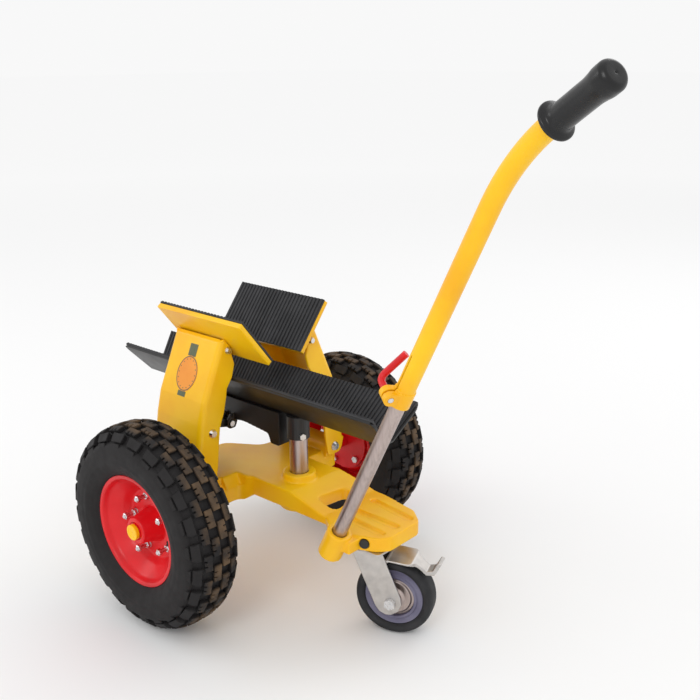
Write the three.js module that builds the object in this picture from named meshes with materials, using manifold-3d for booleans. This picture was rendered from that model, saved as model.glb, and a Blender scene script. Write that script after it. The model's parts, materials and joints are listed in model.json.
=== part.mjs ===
// Self-clamping slab trolley, in millimetres, +Z up, X towards the pull handle, Y along the axle.
// A cast base carries a wheel axle, a braked swivel caster and a telescopic pull handle.
// A V cradle slides down in the base under load; two links then swing the jaw uprights inward.
// The model is laid out with X = 0 on the axle, then moved so that the origin is the centre of
// the footprint on the floor.
import * as THREE from 'three';
import { mergeVertices } from 'three/addons/utils/BufferGeometryUtils.js';
import Module from 'manifold-3d';

const wasm = await Module();
wasm.setup();

// ---- driving dimensions ---------------------------------------------------------------------
const GAP = 0.3;                          // between solids that meet
const DEG = Math.PI / 180;

const AXLE_Z = 165;                       // wheel radius under load
const TRACK = 225.3;                      // tyre centre to the middle plane
const TYRE_R = 165;
const TYRE_HALF = 47.8;
const LIP_R = 90;                         // rim lip
const AXLE_R = 10;
const BOLT_CIRCLE = 46;                   // five split-rim bolts

const BASE_BOTTOM = 150;
const BASE_TOP = 195;
const DECK_TOP = 173;
const POST = { x: 98, r: 15, bottom: 176, top: 296 };

const CRADLE_X0 = -292;
const CRADLE_X1 = 307;
const CRADLE_BOTTOM = 304.5;
const CRADLE_FLOOR = 11;                  // half width of the V's flat bottom
const CRADLE_EDGE = { y: 56, z: 356 };    // outer corner of the V's top edge

const JAW = { width: 116, sheet: 5 };     // folded uprights
const JAW_LEFT_X0 = -108;                 // the two uprights are staggered along X
const JAW_RIGHT_X0 = -46;
const FOOT = { y: 117, z: 203 };          // lower pivots of the uprights
const HEAD = { y: 63, z: 409 };           // pad pivots
const MID = { y: 104, z: 279 };           // link pins on the uprights
const LINK_PIN = { y: 22, z: 259.15 };    // link pins on the cradle carriage

const PAD_X0 = -122.6;
const PAD_X1 = 76.5;
const PAD_HIGH = 95.5;
const PAD_EDGE = { y: 28.8, z: 400 };     // lower edge of the rubber face
const PAD_LEAN = 38.5 * DEG;              // face to vertical
const RUBBER = 4;
const PAD_THICK = 13;

const SWIVEL = { x: 272, y: -15 };
const CASTER_YAW = 22.2 * DEG;
const TRAIL = 36;
const CASTER_R = 62.5;

const TUBE_FOOT = new THREE.Vector3(259.6, -80, 182);
const TUBE_DIR = new THREE.Vector3(0.4336, 0, 0.9011).normalize();
const LOWER_R = 11;
const UPPER_R = 13.5;
const SOCKET_R = 19;
const SOCKET_S = [-46, 2];                // socket ends, along the tube axis
const COLLAR_S = 256;                     // lower end of the upper tube, along the tube axis
const BEND_S = 559;                       // start of the handle bend
const BEND_R = 230;
const BEND_ANGLE = 33.8 * DEG;
const BEND_TURN = 27 * DEG;               // bend plane, turned out from the X-Z plane
const GRIP_LENGTH = 92;

// ---- materials ------------------------------------------------------------------------------
const paint = (color, roughness, metalness) =>
  new THREE.MeshStandardMaterial({ color, roughness, metalness });
const YELLOW = paint(0xf4bd10, 0.42, 0.1);
const RED = paint(0xd41c26, 0.35, 0.1);
const TYRE = paint(0x2e2b2c, 0.85, 0);
const RIBBED = paint(0x2b2a2c, 0.8, 0);
const BLACK = paint(0x222122, 0.5, 0.2);
const STEEL = paint(0xa89c98, 0.35, 0.9);
const ZINC = paint(0xaaa3a0, 0.45, 0.8);
const BRIGHT = paint(0xc9c9c9, 0.3, 0.9);
const GRIP = paint(0x1b1b1d, 0.35, 0);
const GREY = paint(0x8a88a0, 0.6, 0);

// ---- helpers --------------------------------------------------------------------------------
// A closed three.js geometry as a solid: shared vertices merged, slivers dropped, faces outward.
function solid(geometry) {
  let g = geometry.index ? geometry.toNonIndexed() : geometry.clone();
  g.deleteAttribute('normal');
  g.deleteAttribute('uv');
  g = mergeVertices(g, 1e-4);
  const p = g.attributes.position;
  const kept = [];
  let volume = 0;
  const [a, b, c] = [new THREE.Vector3(), new THREE.Vector3(), new THREE.Vector3()];
  for (let i = 0; i < g.index.count; i += 3) {
    const t = [g.index.getX(i), g.index.getX(i + 1), g.index.getX(i + 2)];
    if (t[0] === t[1] || t[1] === t[2] || t[0] === t[2]) continue;
    kept.push(t);
    a.fromBufferAttribute(p, t[0]);
    b.fromBufferAttribute(p, t[1]);
    c.fromBufferAttribute(p, t[2]);
    volume += a.dot(b.cross(c));
  }
  const triVerts = new Uint32Array(kept.flatMap(t => (volume < 0 ? [t[0], t[2], t[1]] : t)));
  const vertProperties = new Float32Array(p.array);
  return new wasm.Manifold(new wasm.Mesh({ numProp: 3, vertProperties, triVerts }));
}

function geometryOf(manifold) {
  const m = manifold.getMesh();
  const g = new THREE.BufferGeometry();
  g.setAttribute('position', new THREE.BufferAttribute(new Float32Array(m.vertProperties), 3));
  g.setIndex(new THREE.BufferAttribute(new Uint32Array(m.triVerts), 1));
  g.computeVertexNormals();
  return g;
}

const trolley = new THREE.Group();
function add(name, manifold, material) {
  const mesh = new THREE.Mesh(geometryOf(manifold), material);
  mesh.name = name;
  trolley.add(mesh);
  return mesh;
}

function box(x0, x1, y0, y1, z0, z1) {
  const g = new THREE.BoxGeometry(x1 - x0, y1 - y0, z1 - z0);
  g.translate((x0 + x1) / 2, (y0 + y1) / 2, (z0 + z1) / 2);
  return solid(g);
}

const UP = new THREE.Vector3(0, 1, 0);
const v3 = (x, y, z) => new THREE.Vector3(x, y, z);

// Round bar from p to q.
function rod(p, q, radius, segments = 16, endRadius = radius) {
  const d = q.clone().sub(p);
  const g = new THREE.CylinderGeometry(endRadius, radius, d.length(), segments);
  g.applyQuaternion(new THREE.Quaternion().setFromUnitVectors(UP, d.clone().normalize()));
  g.translate(...p.clone().add(q).multiplyScalar(0.5).toArray());
  return solid(g);
}

// A closed [radius, distance] outline turned around an axis through origin.
function turned(outline, origin, direction, segments = 32) {
  const points = [...outline, outline[0]].map(([r, h]) => new THREE.Vector2(r, h));
  const g = new THREE.LatheGeometry(points, segments);
  g.applyQuaternion(new THREE.Quaternion().setFromUnitVectors(UP, direction.clone().normalize()));
  g.translate(origin.x, origin.y, origin.z);
  return solid(g);
}

// Corner list [x, y, radius] as points, each corner rounded unless it is all but straight.
function rounded(corners, steps = 3) {
  const out = [];
  corners.forEach(([x, y, r = 0], i) => {
    const p = new THREE.Vector2(x, y);
    const prev = corners[(i + corners.length - 1) % corners.length];
    const next = corners[(i + 1) % corners.length];
    const a = new THREE.Vector2(prev[0], prev[1]).sub(p).normalize();
    const b = new THREE.Vector2(next[0], next[1]).sub(p).normalize();
    const half = Math.acos(THREE.MathUtils.clamp(a.dot(b), -1, 1)) / 2;
    if (r / Math.tan(half) < 0.4) { out.push(p); return; }
    const centre = a.clone().add(b).normalize().multiplyScalar(r / Math.sin(half)).add(p);
    const from = p.clone().addScaledVector(a, r / Math.tan(half)).sub(centre).angle();
    const to = p.clone().addScaledVector(b, r / Math.tan(half)).sub(centre).angle();
    const sweep = THREE.MathUtils.euclideanModulo(to - from + Math.PI, 2 * Math.PI) - Math.PI;
    for (let k = 0; k <= steps; k++) {
      const t = from + sweep * k / steps;
      out.push(new THREE.Vector2(centre.x + r * Math.cos(t), centre.y + r * Math.sin(t)));
    }
  });
  return out;
}

// An outline pushed along one axis, from lo to hi.
function slab(points, lo, hi, axis) {
  const g = new THREE.ExtrudeGeometry(new THREE.Shape(points), { depth: hi - lo, bevelEnabled: false });
  g.translate(0, 0, lo);
  const m = new THREE.Matrix4();
  if (axis === 'x') m.makeBasis(v3(0, 1, 0), v3(0, 0, 1), v3(1, 0, 0));
  if (axis === 'y') m.makeBasis(v3(1, 0, 0), v3(0, 0, 1), v3(0, 1, 0));
  g.applyMatrix4(m);
  return solid(g);
}

// A section swept along a curve.
function swept(radius, curve, sides, steps) {
  const ring = [];
  for (let k = 0; k < sides; k++) {
    const t = 2 * Math.PI * k / sides;
    ring.push(new THREE.Vector2(radius * Math.cos(t), radius * Math.sin(t)));
  }
  const g = new THREE.ExtrudeGeometry(new THREE.Shape(ring), { steps, extrudePath: curve });
  return solid(g);
}

const join = parts => parts.reduce((a, b) => a.add(b));
const cut = (body, tools) => tools.reduce((a, b) => a.subtract(b), body);
const placed = (manifold, matrix) => solid(geometryOf(manifold).applyMatrix4(matrix));

// ---- base casting ---------------------------------------------------------------------------
const tubeAt = s => TUBE_FOOT.clone().addScaledVector(TUBE_DIR, s);
const plan = rounded([
  [-102.3, -128, 8], [2.3, -128, 8], [2.3, -87], [16, -87, 4], [16, -62, 14], [40, -51, 16],
  [204, -50, 8], [222, -63, 8], [270, -63, 8], [305, -48, 8], [318, -32, 10], [318, 38, 14],
  [290, 61, 16], [222, 72, 20], [176, 74, 20], [110, 66, 10], [70, 64, 5], [66, 87],
  [64.3, 87], [64.3, 128, 8], [-40.3, 128, 8], [-40.3, 87], [-44, 87], [-46, 52, 24],
  [-106, 14, 24], [-106, -87], [-102.3, -87],
]);
const side = rounded([
  [-110, BASE_BOTTOM, 0], [24, BASE_BOTTOM, 6], [40, 162, 6], [206, 162, 6], [224, BASE_BOTTOM, 6],
  [326, BASE_BOTTOM], [326, DECK_TOP], [198, DECK_TOP + 2, 20], [126, BASE_TOP - 1, 20],
  [-110, BASE_TOP],
]);
let base = slab(plan, BASE_BOTTOM - 5, BASE_TOP + 5, 'z').intersect(slab(side, -140, 140, 'y'));
const shoulder = (x, s) => [[x, 176], [x + s * 30, 176], [x + s * 30, 210], [x - s * 18, 210]]
  .map(p => new THREE.Vector2(...p));
base = cut(base, [
  slab(shoulder(16.2, 1), -140, -56, 'y'),
  slab(shoulder(64.5, 1), 66, 140, 'y'),
]);
base = join([
  base,
  rod(v3(POST.x, 0, BASE_BOTTOM - 4), v3(POST.x, 0, 206), 34, 32, 27),
  rod(v3(JAW_LEFT_X0 + 5.7, -FOOT.y, FOOT.z), v3(JAW_LEFT_X0 + 110.3, -FOOT.y, FOOT.z), 17, 24),
  rod(v3(JAW_RIGHT_X0 + 5.7, FOOT.y, FOOT.z), v3(JAW_RIGHT_X0 + 110.3, FOOT.y, FOOT.z), 17, 24),
  box(JAW_LEFT_X0 + 5.7, JAW_LEFT_X0 + 110.3, -FOOT.y - 11, -FOOT.y + 17, 185, FOOT.z),
  box(JAW_RIGHT_X0 + 5.7, JAW_RIGHT_X0 + 110.3, FOOT.y - 17, FOOT.y + 11, 185, FOOT.z),
  rod(v3(0, -168, AXLE_Z), v3(0, 168, AXLE_Z), 15, 24),
  rod(tubeAt(SOCKET_S[0]), tubeAt(SOCKET_S[1]), SOCKET_R, 28),
  box(232, 282, -84, -60, 153, 171),
]);
// Three blind grooves in the deck, from (x0, y0) to (x1, y1).
for (const [x0, y0, x1, y1] of [[216, -25, 304, -31], [214, 1, 306, 1], [216, 45, 306, 34]]) {
  const lean = 6.5 * (y1 - y0) / (x1 - x0);
  base = base.subtract(slab(rounded([
    [x0 + lean, y0 - 6.5, 6], [x1 + lean, y1 - 6.5, 6], [x1 - lean, y1 + 6.5, 6], [x0 - lean, y0 + 6.5, 6],
  ]), DECK_TOP - 3.5, DECK_TOP + 20, 'z'));
}
const PLUG = { at: v3(287, -55.5, 162), out: v3(0.394, -0.919, 0).normalize() };
base = cut(base, [
  slab(rounded([[158, -24, 10], [198, -24, 10], [194, 36, 10], [166, 36, 10]]), 140, 210, 'z'),
  rod(v3(0, -200, AXLE_Z), v3(0, 200, AXLE_Z), AXLE_R + GAP, 24),
  rod(v3(POST.x, 0, 120), v3(POST.x, 0, 260), POST.r + 0.4, 24),
  rod(v3(-130, -FOOT.y, FOOT.z), v3(30, -FOOT.y, FOOT.z), 6.4),
  rod(v3(-70, FOOT.y, FOOT.z), v3(90, FOOT.y, FOOT.z), 6.4),
  rod(tubeAt(SOCKET_S[0] + 5), tubeAt(30), LOWER_R + 0.4, 24),
  rod(PLUG.at.clone().addScaledVector(PLUG.out, -6), PLUG.at.clone().addScaledVector(PLUG.out, 12), 7.8),
]);
add('base_frame', base, YELLOW);
add('deck_plug', rod(PLUG.at.clone().addScaledVector(PLUG.out, -5.6),
  PLUG.at.clone().addScaledVector(PLUG.out, 1.5), 7.4), BLACK);
add('wheel_axle', rod(v3(0, -257, AXLE_Z), v3(0, 257, AXLE_Z), AXLE_R, 24), STEEL);

// ---- road wheels ----------------------------------------------------------------------------
const half = [
  [90.6, 32.3], [91.2, 38], [102, 45.4], [118, 47.8], [134, 46.4], [150, 42.4], [160, 35], [TYRE_R, 16],
];
const tyreSection = [[84.3, 27.2], ...half, ...half.map(([r, a]) => [r, -a]).reverse(), [84.3, -27.2]];
const rimSection = [
  [13.6, 33.6], [21, 33.6], [27, -3], [58, -3], [72, 20], [80.4, 25], [84, 35.5], [LIP_R, 35.5],
  [LIP_R, 33], [83.8, 29], [83.8, -29], [LIP_R, -33], [LIP_R, -35.5], [84, -35.5], [80.4, -31],
  [80.4, 21], [75, 18], [60, -6], [24.6, -6], [18.8, 28], [13.6, 28],
];
const hubSection = [
  [AXLE_R + GAP, -50], [13.3, -50], [13.3, -12], [56, -12], [56, -6.3], [24, -6.3], [18.4, 27.7],
  [13.3, 27.7], [13.3, 33.6], [AXLE_R + GAP, 33.6],
];
function wheel(name, sign) {
  const out = v3(0, sign, 0);
  const centre = v3(0, sign * TRACK, AXLE_Z);
  const at = (radius, angle, a) => v3(radius * Math.cos(angle), sign * (TRACK + a),
    AXLE_Z + radius * Math.sin(angle));
  const bolts = [0, 1, 2, 3, 4].map(k => (31 + 72 * k) * DEG);
  const valveIn = at(77, -4 * DEG, 5);
  const valveOut = at(61, -4 * DEG, 21);
  const holes = bolts.map(t => rod(at(BOLT_CIRCLE, t, -30), at(BOLT_CIRCLE, t, 30), 3.9, 8));
  add(`${name}_tyre`, turned(tyreSection, centre, out, 24), TYRE);
  add(`${name}_rim`, cut(turned(rimSection, centre, out, 24), [...holes,
    rod(valveIn.clone().lerp(valveOut, -0.25), valveOut, 4.4, 8)]), RED);
  add(`${name}_hub`, cut(turned(hubSection, centre, out, 20), holes), STEEL);
  add(`${name}_hub_cap`, turned([[0, 34], [12.4, 34], [12.4, 39], [10.4, 40.6], [0, 40.6]],
    centre, out, 20), YELLOW);
  add(`${name}_valve`, rod(valveIn, valveOut, 4, 8), BLACK);
  bolts.forEach((t, k) => add(`${name}_bolt_${k + 1}`, join([
    rod(at(BOLT_CIRCLE, t, -18), at(BOLT_CIRCLE, t, 22), 3.3, 8),
    rod(at(BOLT_CIRCLE, t, -18), at(BOLT_CIRCLE, t, -12.3), 6.6, 6),
    rod(at(BOLT_CIRCLE, t, -2.7), at(BOLT_CIRCLE, t, 4), 6.6, 6),
  ]), BRIGHT));
}
wheel('left_wheel', -1);
wheel('right_wheel', 1);

// ---- swivel caster, drawn with its wheel trailing along +X, then yawed about the swivel --------
const yaw = new THREE.Matrix4().makeTranslation(SWIVEL.x, SWIVEL.y, 0)
  .multiply(new THREE.Matrix4().makeRotationZ(CASTER_YAW));
const caster = (name, body, material) => add(name, placed(body, yaw), material);
const cz = CASTER_R - 0.9;                // wheel centre height
const hub = v3(TRAIL, 0, cz);
const across = v3(0, 1, 0);
add('caster_plate', slab(rounded([
  [-40 + SWIVEL.x, -38 + SWIVEL.y, 6], [40 + SWIVEL.x, -38 + SWIVEL.y, 6],
  [40 + SWIVEL.x, 38 + SWIVEL.y, 6], [-40 + SWIVEL.x, 38 + SWIVEL.y, 6],
]), 146.2, BASE_BOTTOM - GAP, 'z'), ZINC);
const leg = rounded([[-27, 143, 3], [22, 143, 3], [61, 50, 24], [20, 34, 20]]);
caster('caster_fork', cut(join([
  slab(leg, -31.5, -28.2, 'y'), slab(leg, 28.2, 31.5, 'y'),
  slab(rounded([[-27, 138, 2], [22, 138, 2], [22, 143, 2], [-27, 143, 2]]), -31.5, 31.5, 'y'),
  rod(v3(0, 0, 139), v3(0, 0, 145.9), 24, 28),
]), [rod(v3(TRAIL, -40, cz), v3(TRAIL, 40, cz), 5.5)]), ZINC);
caster('caster_tyre', turned([
  [46.3, -14], [CASTER_R - 9, -19], [CASTER_R - 3, -17], [CASTER_R - 0.9, -10], [CASTER_R - 0.9, 10],
  [CASTER_R - 3, 17], [CASTER_R - 9, 19], [46.3, 14],
], hub, across, 32), RIBBED);
caster('caster_rim', turned([[32.3, -15], [46, -13.4], [46, 13.4], [32.3, 15]], hub, across, 28), GREY);
caster('caster_hub', turned([
  [5.5, -21], [13, -21], [15, -11], [32, -11], [32, 11], [15, 11], [13, 21], [5.5, 21],
], hub, across, 20), BRIGHT);
caster('caster_axle', join([
  rod(v3(TRAIL, -38, cz), v3(TRAIL, 38, cz), 5.1),
  rod(v3(TRAIL, -38.5, cz), v3(TRAIL, -31.9, cz), 9, 6),
  rod(v3(TRAIL, 31.9, cz), v3(TRAIL, 37.5, cz), 9, 6),
]), BRIGHT);
const brakeSide = [[26, 130.4], [66, 128.6], [87, 114], [96, 116], [104, 130.8], [110, 130], [99, 109],
  [86, 107], [64, 125.5], [26, 127.6]].map(p => new THREE.Vector2(...p));
const brakePlan = rounded([[24, -26, 3], [64, -26, 6], [72, -12, 8], [112, -12, 4], [112, 12, 4],
  [72, 12, 8], [64, 26, 6], [24, 26, 3]]);
caster('caster_brake', join([
  slab(brakeSide, -27, 27, 'y').intersect(slab(brakePlan, 90, 140, 'z')),
  rod(v3(28, -27.8, 128.4), v3(28, 27.8, 128.4), 2.6, 12),
]), ZINC);

// ---- cradle carriage --------------------------------------------------------------------------
const wall = t => {                       // V trough, inset by t from the outside
  const rise = new THREE.Vector2(CRADLE_EDGE.y - CRADLE_FLOOR, CRADLE_EDGE.z - CRADLE_BOTTOM).normalize();
  const foot = CRADLE_FLOOR + (t * rise.x - t) / rise.y;
  return [[foot, CRADLE_BOTTOM + t], [CRADLE_EDGE.y - rise.y * t, CRADLE_EDGE.z + rise.x * t]];
};
const trough = (outer, inner) => [
  outer[0], outer[1], inner[1], inner[0],
  [-inner[0][0], inner[0][1]], [-inner[1][0], inner[1][1]],
  [-outer[1][0], outer[1][1]], [-outer[0][0], outer[0][1]],
].map(p => new THREE.Vector2(...p));
const ends = slab(rounded([
  [CRADLE_X0 + 20, CRADLE_BOTTOM - 1], [CRADLE_X1 - 20, CRADLE_BOTTOM - 1],
  [CRADLE_X1, CRADLE_EDGE.z + 6.3, 14], [CRADLE_X0, CRADLE_EDGE.z + 6.3, 14],
], 5), -70, 70, 'y');
add('cradle_shell', slab(trough(wall(0), wall(4)), CRADLE_X0 - 5, CRADLE_X1 + 5, 'x')
  .intersect(ends), BLACK);
add('cradle_liner', slab(trough(wall(4.3), wall(9)), CRADLE_X0 - 5, CRADLE_X1 + 5, 'x')
  .intersect(ends), RIBBED);
const arch = rounded([
  [-96, 244, 3], [-84, 244, 3], [-80, 262, 6], [-14, 268, 30], [44, 262, 6], [50, 246, 3], [71, 246, 3],
  [71, CRADLE_BOTTOM - GAP], [-96, CRADLE_BOTTOM - GAP],
]);
const lug = y => rounded([
  [y * 0.2, 271], [y - Math.sign(y) * 8, LINK_PIN.z - 9, 5], [y + Math.sign(y) * 8, LINK_PIN.z - 9, 7],
  [y + Math.sign(y) * 9, LINK_PIN.z + 6, 5], [y, 276], [y * 0.2, 276],
]);
const lugs = (x, y) => [slab(lug(y), x - 11, x - 5.5, 'x'), slab(lug(y), x + 5.5, x + 11, 'x')];
const LEFT_LINK_X = -50;
const RIGHT_LINK_X = 12;
add('carriage_beam', cut(join([
  slab(arch, -17, 17, 'y'), ...lugs(LEFT_LINK_X, -LINK_PIN.y), ...lugs(RIGHT_LINK_X, LINK_PIN.y),
]), [
  box(LEFT_LINK_X - 5.5, LEFT_LINK_X + 5.5, -40, -9, 240, 274),
  box(RIGHT_LINK_X - 5.5, RIGHT_LINK_X + 5.5, 9, 40, 240, 274),
  rod(v3(LEFT_LINK_X - 20, -LINK_PIN.y, LINK_PIN.z), v3(LEFT_LINK_X + 20, -LINK_PIN.y, LINK_PIN.z), 5.3),
  rod(v3(RIGHT_LINK_X - 20, LINK_PIN.y, LINK_PIN.z), v3(RIGHT_LINK_X + 20, LINK_PIN.y, LINK_PIN.z), 5.3),
]), BLACK);
add('guide_post', rod(v3(POST.x, 0, POST.bottom), v3(POST.x, 0, POST.top), POST.r, 28), STEEL);
const boltOut = v3(0.9, -0.436, 0).normalize();
const sleeveAt = (s, z) => v3(POST.x, 0, z).addScaledVector(boltOut, s);
add('post_sleeve', cut(rod(v3(POST.x, 0, 266), v3(POST.x, 0, CRADLE_BOTTOM - GAP), 19, 28), [
  rod(v3(POST.x, 0, 260), v3(POST.x, 0, POST.top + GAP), POST.r + GAP, 28),
  rod(sleeveAt(10, 273), sleeveAt(30, 273), 3.3, 12),
]), BLACK);
add('sleeve_bolt', join([rod(sleeveAt(15.5, 273), sleeveAt(20, 273), 3, 12),
  rod(sleeveAt(19.4, 273), sleeveAt(24, 273), 5.5, 6)]), BRIGHT);

// ---- jaws: upright, pad plate, pad rubber, pins and link on each side ------------------------
const padPoint = (h, depth, s) => [
  s * (PAD_EDGE.y + h * Math.sin(PAD_LEAN) + depth * Math.cos(PAD_LEAN)),
  PAD_EDGE.z + h * Math.cos(PAD_LEAN) - depth * Math.sin(PAD_LEAN),
];
const padBox = (h0, h1, d0, d1, s) => [[h0, d0], [h1, d0], [h1, d1], [h0, d1]]
  .map(([h, d]) => new THREE.Vector2(...padPoint(h, d, s)));
const mirror = (corners, s) => corners.map(([y, z, r]) => [s * y, z, r]);
const headDepth = (HEAD.y - PAD_EDGE.y) * Math.cos(PAD_LEAN) - (HEAD.z - PAD_EDGE.z) * Math.sin(PAD_LEAN);
const headHeight = (HEAD.y - PAD_EDGE.y) * Math.sin(PAD_LEAN) + (HEAD.z - PAD_EDGE.z) * Math.cos(PAD_LEAN);

function pin(x0, x1, y, z, r, head) {
  return join([rod(v3(x0 - 2, y, z), v3(x1 + 2, y, z), r, 12),
    rod(v3(x0 - 4.4, y, z), v3(x0, y, z), head * 0.7, 12, head),
    rod(v3(x1, y, z), v3(x1 + 4.4, y, z), head, 12, head * 0.7)]);
}

function jaw(name, s, x0, linkX) {
  const x1 = x0 + JAW.width;
  const t = JAW.sheet;
  // Outside outline of the folded sheet, from the foot up the outer face and down the inner edge.
  const edge = h => padPoint(h, PAD_THICK + 0.9, 1);
  const outline = rounded(mirror([
    [101, 189, 10], [133, 188, 12], [141, 214, 10], [136, 243, 12], [127, 298, 14], [118, 333, 14],
    [77, 424, 3], [...edge(headHeight + 20), 2], [...edge(headHeight - 1), 6],
    [54.6, 397.5, 6], [50.5, 384, 8], [56.5, 363, 4], [69, 345, 4], [70.5, 334, 8],
    [77, 308, 14], [87, 284, 10], [91, 258, 14], [95, 222, 10],
  ], s), 3);
  const hollow = mirror([
    [20, 160], [170, 160], [170, 242], [136 - t, 242], [127 - t, 298], [118 - t * 1.05, 333],
    [77 - t * 1.05, 424], [70, 445], [20, 445],
  ], s).map(([y, z]) => new THREE.Vector2(y, z));
  add(`${name}_upright`, cut(slab(outline, x0, x1, 'x'), [
    slab(hollow, x0 + t, x1 - t, 'x'),
    rod(v3(x0 - 5, s * FOOT.y, FOOT.z), v3(x1 + 5, s * FOOT.y, FOOT.z), 6.4),
    rod(v3(x0 - 5, s * HEAD.y, HEAD.z), v3(x1 + 5, s * HEAD.y, HEAD.z), 4.3),
    rod(v3(x0 - 5, s * MID.y, MID.z), v3(x1 + 5, s * MID.y, MID.z), 5.3),
  ]), YELLOW);
  add(`${name}_foot_pin`, pin(x0 - GAP, x1 + GAP, s * FOOT.y, FOOT.z, 6, 8.5), BRIGHT);
  add(`${name}_head_pin`, pin(x0 - GAP, x1 + GAP, s * HEAD.y, HEAD.z, 4, 6.2), BRIGHT);
  add(`${name}_link_bolt`, pin(x0 - GAP, x1 + GAP, s * MID.y, MID.z, 5, 7.5), BRIGHT);

  const head = v3(0, s * HEAD.y, HEAD.z);
  const ear = x => join([
    slab(padBox(headHeight - 9.5, headHeight + 9.5, PAD_THICK - 1, headDepth, s), x, x + 6, 'x'),
    rod(v3(x, head.y, head.z), v3(x + 6, head.y, head.z), 9.5),
  ]);
  add(`${name}_pad_plate`, cut(join([
    slab(padBox(0, PAD_HIGH, RUBBER + GAP, PAD_THICK, s), PAD_X0, PAD_X1, 'x'),
    ear(x0 + t + 0.6), ear(x1 - t - 6.6),
  ]), [rod(v3(x0 - 5, head.y, head.z), v3(x1 + 5, head.y, head.z), 4.3)]), YELLOW);
  add(`${name}_pad_rubber`, slab(padBox(0, PAD_HIGH, 0, RUBBER, s), PAD_X0, PAD_X1, 'x'), RIBBED);

  // Link: a flat bar between the carriage pin and the upright, loose on the upright's bolt.
  const inner = new THREE.Vector2(s * LINK_PIN.y, LINK_PIN.z);
  const outer = new THREE.Vector2(s * MID.y, MID.z);
  const along = outer.clone().sub(inner).normalize();
  const normal = new THREE.Vector2(-along.y, along.x).multiplyScalar(7);
  const bar = [inner.clone().sub(normal), outer.clone().sub(normal),
    outer.clone().add(normal), inner.clone().add(normal)];
  const eye = (p, r) => rod(v3(linkX - 5, p.x, p.y), v3(linkX + 5, p.x, p.y), r);
  const through = (p, r) => rod(v3(linkX - 9, p.x, p.y), v3(linkX + 9, p.x, p.y), r);
  add(`${name}_link`, cut(join([slab(bar, linkX - 5, linkX + 5, 'x'), eye(inner, 9), eye(outer, 11)]),
    [through(inner, 5.3), through(outer, 6.4)]), BLACK);
  add(`${name}_carriage_pin`, rod(v3(linkX - 12.5, inner.x, inner.y), v3(linkX + 12.5, inner.x, inner.y), 5),
    BRIGHT);
}
jaw('left', -1, JAW_LEFT_X0, LEFT_LINK_X);
jaw('right', 1, JAW_RIGHT_X0, RIGHT_LINK_X);

// ---- telescopic pull handle -------------------------------------------------------------------
add('handle_lower_tube', rod(tubeAt(SOCKET_S[0] + 5.4), tubeAt(COLLAR_S + 205), LOWER_R, 20), STEEL);
const inPlane = v3(0.9011, 0, -0.4336);
const bendOut = inPlane.clone().multiplyScalar(Math.cos(BEND_TURN)).add(v3(0, -Math.sin(BEND_TURN), 0));
const bendCentre = tubeAt(BEND_S).addScaledVector(bendOut, BEND_R);
const bendPoint = phi => bendCentre.clone().addScaledVector(bendOut, -BEND_R * Math.cos(phi))
  .addScaledVector(TUBE_DIR, BEND_R * Math.sin(phi));
const gripDir = TUBE_DIR.clone().multiplyScalar(Math.cos(BEND_ANGLE))
  .addScaledVector(bendOut, Math.sin(BEND_ANGLE));
const bendEnd = bendPoint(BEND_ANGLE);
const gripAt = s => bendEnd.clone().addScaledVector(gripDir, s);
class BendCurve extends THREE.Curve {
  getPoint(t, target = new THREE.Vector3()) { return target.copy(bendPoint(t * BEND_ANGLE)); }
}
const screwDir = v3(-0.796, 0.469, 0.384).normalize();
const screw = screwDir.addScaledVector(TUBE_DIR, -screwDir.dot(TUBE_DIR)).normalize();
const earOut = screw.clone().cross(TUBE_DIR).normalize().multiplyScalar(-1);
if (earOut.y > 0) earOut.multiplyScalar(-1);
const earCentre = tubeAt(COLLAR_S + 13).addScaledVector(earOut, UPPER_R + 7.5);
const frame = new THREE.Matrix4().makeBasis(earOut, TUBE_DIR, earOut.clone().cross(TUBE_DIR))
  .setPosition(tubeAt(COLLAR_S));
const earSide = earOut.clone().cross(TUBE_DIR).dot(screw) > 0 ? 1 : -1;
const earBar = (lo, hi) => join([
  placed(slab([[6, 3], [UPPER_R + 7.5, 3], [UPPER_R + 7.5, 23], [6, 23]]
    .map(p => new THREE.Vector2(...p)), lo, hi, 'z'), frame),
  rod(earCentre.clone().addScaledVector(screw, earSide * lo),
    earCentre.clone().addScaledVector(screw, earSide * hi), 10, 16),
]);
let upper = join([
  rod(tubeAt(COLLAR_S), tubeAt(BEND_S + 0.4), UPPER_R, 20),
  swept(UPPER_R, new BendCurve(), 20, 7),
  rod(bendEnd.clone().addScaledVector(gripDir, -0.5), gripAt(GRIP_LENGTH - 6), UPPER_R - 0.6, 20),
  rod(tubeAt(COLLAR_S), tubeAt(COLLAR_S + 26), UPPER_R + 1.6, 20),
  earBar(1.6, 11), earBar(-11, -1.6),
]);
upper = cut(upper, [
  rod(tubeAt(COLLAR_S - 5), tubeAt(BEND_S - 4), LOWER_R + 0.4, 20),
  placed(slab([[0, -3], [40, -3], [40, 27], [UPPER_R + 3, 27], [UPPER_R + 3, 82], [0, 82]]
    .map(p => new THREE.Vector2(...p)), -1.3, 1.3, 'z'), frame),
  rod(earCentre.clone().addScaledVector(screw, -30), earCentre.clone().addScaledVector(screw, 30), 4.4, 12),
]);
add('handle_upper_tube', upper, YELLOW);
const legEnd = earCentre.clone().addScaledVector(screw, 36);
const armDir = TUBE_DIR.clone().addScaledVector(earOut, -0.519).normalize();
add('clamp_lever', join([
  rod(earCentre.clone().addScaledVector(screw, -10.6), earCentre.clone().addScaledVector(screw, 12), 4, 12),
  rod(earCentre.clone().addScaledVector(screw, 11.3), legEnd, 5.2, 12),
  solid(new THREE.SphereGeometry(5.2, 12, 8).translate(...legEnd.toArray())),
  rod(legEnd, legEnd.clone().addScaledVector(armDir, 50), 5.2, 12),
]), RED);
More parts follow.
